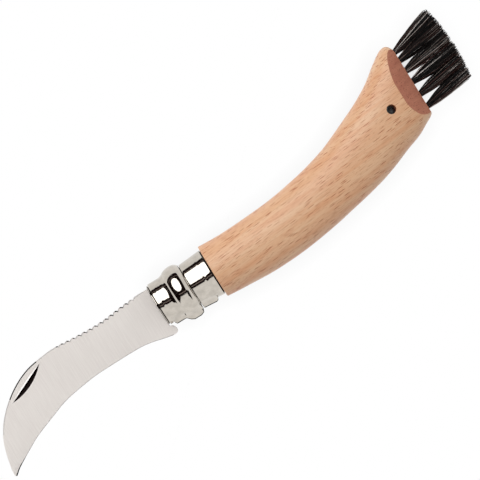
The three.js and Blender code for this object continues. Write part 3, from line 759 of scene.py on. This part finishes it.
# The two slanted flats beside the brush, and the broken edges round them
brush_face_width = 9.2
brush_flat_length = 6.8
broken_edge = 0.35
sharp_corner = math.radians(18)
cut_straight_on = 0.98
flat_lean = math.atan2(half_thickness - brush_face_width / 2, brush_flat_length)
flats = [Vector((math.sin(flat_lean), 0, side * math.cos(flat_lean))) for side in (-1, 1)]
bpy.ops.object.mode_set(mode="EDIT")
bpy.ops.mesh.select_all(action="SELECT")
bpy.ops.mesh.normals_make_consistent(inside=False)
for way in flats:
    bpy.ops.mesh.select_all(action="SELECT")
    bpy.ops.mesh.bisect(plane_co=at(handle_end, 0, math.copysign(brush_face_width / 2, way.z)),
                        plane_no=way, use_fill=True, clear_outer=True)
bpy.ops.mesh.select_mode(type="EDGE")
bpy.ops.mesh.select_all(action="DESELECT")
bpy.ops.mesh.edges_select_sharp(sharpness=sharp_corner)
bpy.ops.object.mode_set(mode="OBJECT")
brush_block = at(handle_end - 2 * brush_flat_length, 0).x
for edge in handle.data.edges:
    if min(handle.data.vertices[v].co.x for v in edge.vertices) < brush_block:
        edge.select = False
bpy.ops.object.mode_set(mode="EDIT")
bpy.ops.mesh.bevel(offset=broken_edge * mm, segments=2, clamp_overlap=True)
bpy.ops.object.mode_set(mode="OBJECT")
for face in handle.data.polygons:
    straight_on = max(face.normal.dot(way) for way in (*flats, Vector((1, 0, 0))))
    if straight_on > cut_straight_on and face.center.x > brush_block:
        face.material_index = end_grain
    # The tenon, seen in the gap behind the ferrule, takes the near-black beech: painted shade
    elif face.center.x < at(handle_start + shoulder_round / 4, 0).x:
        face.material_index = painted_shade_tenon

# The saw slot follows the edge of the folded blade, with room round the tang's eye and round the tip,
# on arcs in half turns. Its outline ends far below the belly.
slot_width = 2.3
slot_clearance = 0.7
slot_roof = 6.8
slot_mouth = -22.3
slot_front = -2.5
eye_room = (0.7, 0.35)
tip_room_to = -0.15
edge_steps = 40
fold_angle = math.radians(175)
heel_reach = heel_outline[2][0]
slot_reach = math.hypot(blade_reach + pivot[0], blade_drop + pivot[1]) + slot_clearance


def folded(x, y):
    """Where a place on the open blade is once the blade is folded."""
    x, y = x - pivot[0], y - pivot[1]
    return (pivot[0] + x * math.cos(fold_angle) - y * math.sin(fold_angle),
            pivot[1] + x * math.sin(fold_angle) + y * math.cos(fold_angle))


slot_outline = [(slot_front, slot_mouth), (slot_front, slot_roof), (shoulder + slot_clearance, slot_roof)]
slot_outline += arc(pivot, eye_radius + slot_clearance, *eye_room)
heel_x, heel_y = folded(heel_reach, -heel_depth)
slot_outline.append((heel_x - slot_clearance, heel_y + slot_clearance))
for i in range(edge_steps + 1):
    place, way = walk(edge_line, edge_lengths, i / edge_steps * edge_lengths[-1])
    slot_outline.append(folded(place.x - way.y * slot_clearance, place.y + way.x * slot_clearance))
tip_x, tip_y = folded(-blade_reach, -blade_drop)
tip_turn = math.atan2(tip_y - pivot[1], tip_x - pivot[0]) / math.pi
slot_outline += arc(pivot, slot_reach, tip_turn, tip_room_to)
slot_outline.append((pivot[0], 3 * slot_mouth))
carve(handle, plate("slot", slot_outline, slot_width))

# The lanyard's hole, halfway up the handle, and the rivet's
lanyard_radius = 1.75
lanyard_setback = 12.0
lanyard_x = handle_end - lanyard_setback
lanyard_y = (share_at(back_heights, lanyard_x) + share_at(belly_heights, lanyard_x)) / 2
carve(handle, bar(lanyard_radius, 4 * half_thickness, lanyard_x, lanyard_y))
carve(handle, bar(rivet_radius + fitted_gap, 2 * half_thickness, *pivot))

# Eighteen blind holes for the tufts: six up the face in each of three rows
bristle_length = 18.6
tuft_radius = 1.1
tuft_depth = 6.4
hole_depth = 8.6
row_pitch = 3.0
tip_rise = 23.9
tip_spread = 5.2
bristle_lean = math.radians(12)
tuft_shares = [0.12, 0.31, 0.505, 0.675, 0.84, 0.965]
face_bottom = share_at(belly_heights, handle_end)
face_height = share_at(back_heights, handle_end) - face_bottom
tuft_heights = [face_bottom + share * face_height for share in tuft_shares]
tips_middle = (tuft_heights[0] + tuft_heights[-1]) / 2 + bristle_length * math.tan(bristle_lean)
tufts = []
for row in (1, 0, -1):
    for i, y in enumerate(tuft_heights):
        tip_y = tips_middle + (i / (len(tuft_shares) - 1) - 0.5) * tip_rise
        tufts.append((row, Vector((handle_end, y, row * row_pitch)),
                      Vector((handle_end + bristle_length, tip_y, row * tip_spread))))


def hole_way(root, tip):
    """The way into a tuft's hole: it leans along the face with the tuft, and lies flat across it."""
    return Vector((root.x - tip.x, root.y - tip.y, 0)).normalized()


drill_sides = 20
drill_overrun = 2
bpy.ops.object.select_all(action="DESELECT")
drills = []
for row, root, tip in tufts:
    way = hole_way(root, tip)
    bpy.ops.mesh.primitive_cylinder_add(
        vertices=drill_sides, radius=(tuft_radius + fitted_gap) * mm,
        depth=(hole_depth + drill_overrun) * mm,
        location=at(*(root + way * (hole_depth / 2 - drill_overrun / 2))),
        rotation=way.to_track_quat("Z", "X").to_euler())
    drills.append(bpy.context.object)
for drill in drills:
    drill.select_set(True)
bpy.ops.object.transform_apply()
bpy.ops.object.join()
carve(handle, bpy.context.object)
select_only(handle)
bpy.ops.object.shade_smooth_by_angle(angle=math.radians(24))

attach(handle, "handle")
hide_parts("handle")


# Ferrule. A sleeve rolled from half-millimetre stainless strip and polished. It is pressed on the
# handle's turned front, keeps the ring behind its rim, and is slit below for the folding blade.
def polished_steel(name, code, roughness):
    """Mirror-bright stainless, a little warm, with the faint, duller clouds that handling leaves."""
    cloud_size = 2.5
    duller = 3
    made, tree, steel = new_material(name, {"Metallic": 1.0})
    place = add_node(tree, "ShaderNodeTexCoord")
    cloud = add_node(tree, "ShaderNodeTexNoise", values={"Scale": 1 / (cloud_size * mm), "Detail": 5.0},
                     links={"Vector": place.outputs["Object"]})
    dull = add_node(tree, "ShaderNodeMapRange", links={"Value": cloud.outputs["Fac"]}, values={
        "From Min": 0.35, "From Max": 0.75, "To Min": roughness, "To Max": duller * roughness})
    tree.links.new(dull.outputs[0], steel.inputs["Roughness"])
    tint = add_node(tree, "ShaderNodeValToRGB", links={"Fac": cloud.outputs["Fac"]})
    for stop, spot, share in zip(tint.color_ramp.elements, (0.3, 0.62), (0.82, 1)):
        stop.position = spot
        stop.color = linear(code, share)
    tree.links.new(tint.outputs["Color"], steel.inputs["Base Color"])
    return made


def rolled_collar(name, stations, wall, sheet_round):
    """A strip rolled round the collar's axis, whose slit edges turn out into lips.

    Each station is (along, radius, lip radius, slit half width at the root, and at the lip's tip).
    """
    sheared_width = 0.3
    fold_share = 0.6
    widest_fold = 0.8
    fold_spread = 4.5
    fold_steps = 8
    round_steps = 72
    weld = 0.01

    # Half of each section runs from the lip's tip over its fold and round to the top
    sections = []
    for x, radius, lip_radius, root_aside, tip_aside in stations:
        rise = max(lip_radius - radius, 0.0)
        fold = min(widest_fold, fold_share * rise)
        turn = math.asin(root_aside / radius)
        corner = Vector((-radius * math.cos(turn), root_aside))
        tip = Vector((-radius * math.cos(turn) - rise, tip_aside if rise else root_aside))
        fold_end = corner + (tip - corner).normalized() * fold if rise else corner
        fold_turn = turn + fold_spread * fold / radius
        fold_start = Vector((-radius * math.cos(fold_turn), radius * math.sin(fold_turn)))
        straight = fold_end - tip
        sheared = min(sheared_width, straight.length / 2) if rise else 0.0
        half = [tip, tip + straight.normalized() * sheared]
        for i in range(fold_steps + 1):
            share = i / fold_steps
            half.append(fold_end.lerp(corner, share).lerp(corner.lerp(fold_start, share), share))
        for i in range(1, round_steps + 1):
            angle = fold_turn + (math.pi - fold_turn) * i / round_steps
            half.append(Vector((-radius * math.cos(angle), radius * math.sin(angle))))
        sections.append([at(x, p.x, p.y) for p in half] + [at(x, p.x, -p.y) for p in half[-2::-1]])
    columns = len(sections[0])

    # The strip's outermost faces and, once it has its wall, its rim are the sheared edge, painted near black:
    # raw cut steel, and a painted dark reflection along the lips' lower rims
    collar_finishes = (polished_steel(name + "_polish", "#cdc6bc", 0.05),
                       plain_steel(name + "_sheared_edge_painted_dark", "#1d1816", 0.45, 0.3))
    polish, sheared_edge_painted_dark = 0, 1
    bpy.ops.object.select_all(action="DESELECT")
    bpy.ops.mesh.primitive_grid_add(x_subdivisions=len(sections) - 1, y_subdivisions=columns - 1, size=2)
    collar = bpy.context.object
    collar.name = name
    for finish in collar_finishes:
        collar.data.materials.append(finish)
    for face in collar.data.polygons:
        outermost = abs(face.center.y) > 1 - 2 / (columns - 1)
        face.material_index = sheared_edge_painted_dark if outermost else polish
    for vertex in collar.data.vertices:
        station = round((vertex.co.x + 1) / 2 * (len(sections) - 1))
        column = round((vertex.co.y + 1) / 2 * (columns - 1))
        vertex.co = sections[station][column]
    bpy.ops.object.mode_set(mode="EDIT")
    bpy.ops.mesh.select_all(action="SELECT")
    bpy.ops.mesh.remove_doubles(threshold=weld * mm)
    bpy.ops.object.mode_set(mode="OBJECT")

    # The wall goes inwards, so the strip's faces have to point out first
    topmost = max(collar.data.polygons, key=lambda face: face.center.y)
    if topmost.normal.y < 0:
        bpy.ops.object.mode_set(mode="EDIT")
        bpy.ops.mesh.flip_normals()
        bpy.ops.object.mode_set(mode="OBJECT")
    thicken = collar.modifiers.new("wall", "SOLIDIFY")
    thicken.thickness = wall * mm
    thicken.offset = -1
    thicken.material_offset_rim = sheared_edge_painted_dark
    soften = collar.modifiers.new("sheet_edges", "BEVEL")
    soften.width = sheet_round * mm
    soften.segments = 2
    soften.material = sheared_edge_painted_dark
    soften.limit_method = "ANGLE"
    soften.angle_limit = math.radians(50)
    for modifier in (thicken, soften):
        bpy.ops.object.modifier_apply(modifier=modifier.name)
    bpy.ops.object.shade_smooth_by_angle(angle=math.radians(35))
    return collar


# The outside of the ferrule and the height of its lips, as (along, radius) and (along, rise)
ferrule_start = -0.5
ferrule_step = 13.15
ferrule_end = 22.2
ferrule_wall = 0.5
ferrule_edge_round = 0.17
ferrule_profile = [
    (ferrule_start, 7.95), (-0.3, 7.95), (-0.18, 7.8), (-0.14, 7.5), (0.0, 7.3), (12.95, 7.3),
    (13.05, 7.4), (ferrule_step, 8.0), (13.22, 8.3), (13.4, 8.37), (21.75, 9.06), (21.95, 9.04),
    (22.1, 8.97), (ferrule_end, 8.86),
]
ferrule_lips = [(ferrule_start, 0), (13.2, 0), (13.3, 1.25), (13.6, 1.35), (18.3, 1.35), (18.95, 1.0),
                (19.35, 0), (ferrule_end, 0)]

# Half widths of the slit, and of the gap between the turned-out lips at their root and tip
ferrule_slit = 1.15
lip_root, lip_tip = 1.75, 1.5
turned_out_rise = 0.6
lip_places = {13.6 + 0.4 * i for i in range(13)}
tube_places = {2.0, 5.0, 8.0, 11.0, 20.5}
places = sorted({x for x, _ in ferrule_profile + ferrule_lips} | lip_places | tube_places)
stations = []
for x in places:
    radius, rise = share_at(ferrule_profile, x), share_at(ferrule_lips, x)
    turned_out = min(rise / turned_out_rise, 1)
    stations.append((x, radius, radius + rise, ferrule_slit + (lip_root - ferrule_slit) * turned_out,
                     ferrule_slit + (lip_tip - ferrule_slit) * turned_out))
ferrule = rolled_collar("slit_ferrule", stations, ferrule_wall, ferrule_edge_round)
carve(ferrule, bar(rivet_radius + fitted_gap, 2 * shoulder_radius, *pivot))
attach(ferrule, "handle")
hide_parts("fixed_ferrule")

# Lock ring. A band of thicker strip with a bead rolled round its back half and a slit with turned-out
# lips for the thumb. Turned round the ferrule, it closes the slot and holds the blade open.
ring_front = 0.15
ring_length = 12.7
ring_radius = 8.3
bead_rise = 1.62
band_lip_rise = 1.3
bead_lip_rise = 1.6
ring_wall = 0.7
ring_edge_round = 0.24
ring_slit = 1.5
lip_opening = 0.8
band_lean, bead_lean = 0.2, 0.25

# The bead as (along, rise), then the share of the ring's length, and there that of the lip's rise on the
# band, and of what it gains on the bead
bead_from = 4.4
bead_shape = [
    (bead_from, 0), (4.7, 0.02), (5.0, 0.085), (5.4, 0.205), (5.8, 0.335), (6.1, 0.45), (6.3, 0.585),
    (6.5, 0.745), (6.65, 0.855), (6.8, 0.945), (7.1, 1.09), (7.5, 1.245), (8.0, 1.395), (8.5, 1.505),
    (9.0, 1.575), (9.5, 1.615), (10.0, bead_rise), (10.5, 1.59), (11.0, 1.5), (11.4, 1.38), (11.8, 1.19),
    (12.2, 0.93), (12.5, 0.68), (12.7, 0.48), (12.85, 0.3),
]
turned_out_share = 0.45
band_shares = [(0, 0), (0.11, 0), (0.12, turned_out_share), (0.16, 1), (0.96, 1), (1, 0.6)]
bead_shares = [(0, 0), (0.45, 0), (0.56, 0.7), (0.65, 1), (0.87, 1), (0.96, 0.75), (1, 0.3)]
band_places = {0.05, 0.2, 0.25, 0.3}
bead_rises = [(0, 0)] + smooth_rows(bead_shape, 3)
places = sorted({(x - ring_front) / ring_length for x, _ in bead_rises[1:]}
                | {share for share, _ in band_shares + bead_shares} | band_places)
stations = []
for along in places:
    band, bead = share_at(band_shares, along), share_at(bead_shares, along)
    radius = ring_radius + share_at(bead_rises, ring_front + along * ring_length)
    lip_radius = ring_radius + band * band_lip_rise + bead * (bead_rise + bead_lip_rise - band_lip_rise)
    turned_out = min(band / turned_out_share, 1)
    lean = band_lean + bead_lean * bead
    stations.append((ring_front + along * ring_length, radius, max(lip_radius, radius),
                     ring_slit + (lip_opening + lean / 2) * turned_out,
                     ring_slit + (lip_opening - lean / 2) * turned_out))
ring = rolled_collar("rolled_lock_ring", stations, ring_wall, ring_edge_round)
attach(ring, "lock_ring")
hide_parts("lock_ring")

# Rivet and staples. Bright drawn steel: the pin on which the blade turns is hidden under the ring,
# and a flat wire staple holds each folded tuft at the bottom of its hole.
drawn_steel = plain_steel("bright_drawn_steel", "#b4b2b0", 0.3, 0.5)
hidden_steel = ["pivot_rivet"] + ["tuft_staple_%02d" % (i + 1) for i in range(len(tufts))]
for name in hidden_steel:
    node = bpy.data.objects[name]
    node.data.materials.clear()
    node.data.materials.append(drawn_steel)

# Brush. Three rows of six tufts of stiff, nearly black hair, each folded in half and stapled into its
# hole. The hairs splay as they leave the wood, and are clipped to a slightly bowed, ragged line.
hairs_in_tuft = 110
hair_radius = 0.11
hair_taper = 0.35
hair_bends = [0.1, 0.25, 0.5, 0.75, 1.0]
tuft_tip_radius = 3.6
own_side, any_side = 0.72, 0.28
splay_curve = 2.2
kink_size = 0.16
kink_half_turns = 1.5
rooted_share = 0.9
splay_depth = 0.3
tips_from, tips_to = 10.6, 40.0
tips_scatter = 0.8
tips_margin = 2
clip_reach = 0.9
clip_bow = 0.006
clip_middle = 22.0
clip_raggedness = 1.7
raggedness_curve = 2.5
draw = random.Random(11)

# Horsehair: smooth and slightly glossy. Each hair has its own tone: most are nearly black, some brown,
# and the few pale ones are painted glints, for light caught along single hairs. They are drawn 0.22 mm
# thick, a little coarser than real ones.
hair_material, tree, hair_shader = new_material("dark_horsehair", {
    "Roughness": 0.35, "Specular IOR Level": 0.2})
island = add_node(tree, "ShaderNodeNewGeometry")
hair_tone_and_painted_glints = add_node(tree, "ShaderNodeValToRGB", links={"Fac": island.outputs["Random Per Island"]})
# The palest stops paint glints onto a few hairs
hair_tone_and_painted_glints.color_ramp.elements[0].color = linear("#070404")
hair_tone_and_painted_glints.color_ramp.elements[1].color = linear("#f0e8e2")
hair_tone_and_painted_glints.color_ramp.elements[1].position = 0.955
for spot, code in ((0.6, "#0b0605"), (0.73, "#2c1411"), (0.83, "#4a251e"), (0.895, "#8c7d75")):
    hair_tone_and_painted_glints.color_ramp.elements.new(spot).color = linear(code)
tree.links.new(hair_tone_and_painted_glints.outputs["Color"], hair_shader.inputs["Base Color"])

for row, name in ((1, "near"), (0, "middle"), (-1, "far")):
    strands = bpy.data.curves.new("bristles_" + name, "CURVE")
    strands.dimensions = "3D"
    strands.bevel_depth = hair_radius * mm
    strands.bevel_resolution = 0
    strands.use_fill_caps = True
    for own_row, root, tip in tufts:
        if own_row != row:
            continue
        inward = hole_way(root, tip)
        for _ in range(hairs_in_tuft):
            aside, stray = (Vector((0, math.cos(turn), math.sin(turn))) * math.sqrt(draw.random())
                            for turn in (draw.uniform(0, 2 * math.pi), draw.uniform(0, 2 * math.pi)))
            foot = root + aside * (tuft_radius - hair_radius)
            head = tip + (own_side * aside + any_side * stray) * (tuft_tip_radius - hair_radius)
            lowest, highest = tips_from + tips_scatter * draw.random(), tips_to - tips_scatter * draw.random()
            head.y = min(max(head.y, lowest), highest)
            head.z = min(max(head.z, -half_thickness + tips_margin), half_thickness - tips_margin)
            too_short = draw.random() ** raggedness_curve * clip_raggedness
            head.x += clip_reach - clip_bow * (head.y - clip_middle) ** 2 - too_short
            kink = Vector((0, draw.gauss(0, kink_size), draw.gauss(0, kink_size)))
            points = [foot + inward * tuft_depth * rooted_share, foot + inward * splay_depth]
            for bend in hair_bends:
                splay = 1 - (1 - bend) ** splay_curve
                middle = root.lerp(tip, bend)
                spread = (foot - root).lerp(head - tip, splay)
                spread.x = (head - tip).x * bend
                points.append(middle + spread + kink * math.sin(bend * math.pi * kink_half_turns))
            spline = strands.splines.new("POLY")
            spline.points.add(len(points) - 1)
            for i, point in enumerate(points):
                spline.points[i].co = (*at(*point), 1)
                spline.points[i].radius = 1 - hair_taper * (i / (len(points) - 1)) ** 2
    bristles = bpy.data.objects.new("bristles_" + name, strands)
    bpy.context.collection.objects.link(bristles)
    select_only(bristles)
    bpy.ops.object.convert(target="MESH")
    bristles = bpy.context.object
    bpy.ops.object.shade_smooth()
    bristles.data.materials.clear()
    bristles.data.materials.append(hair_material)
    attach(bristles, "handle")
    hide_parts("bristle_row_" + name)
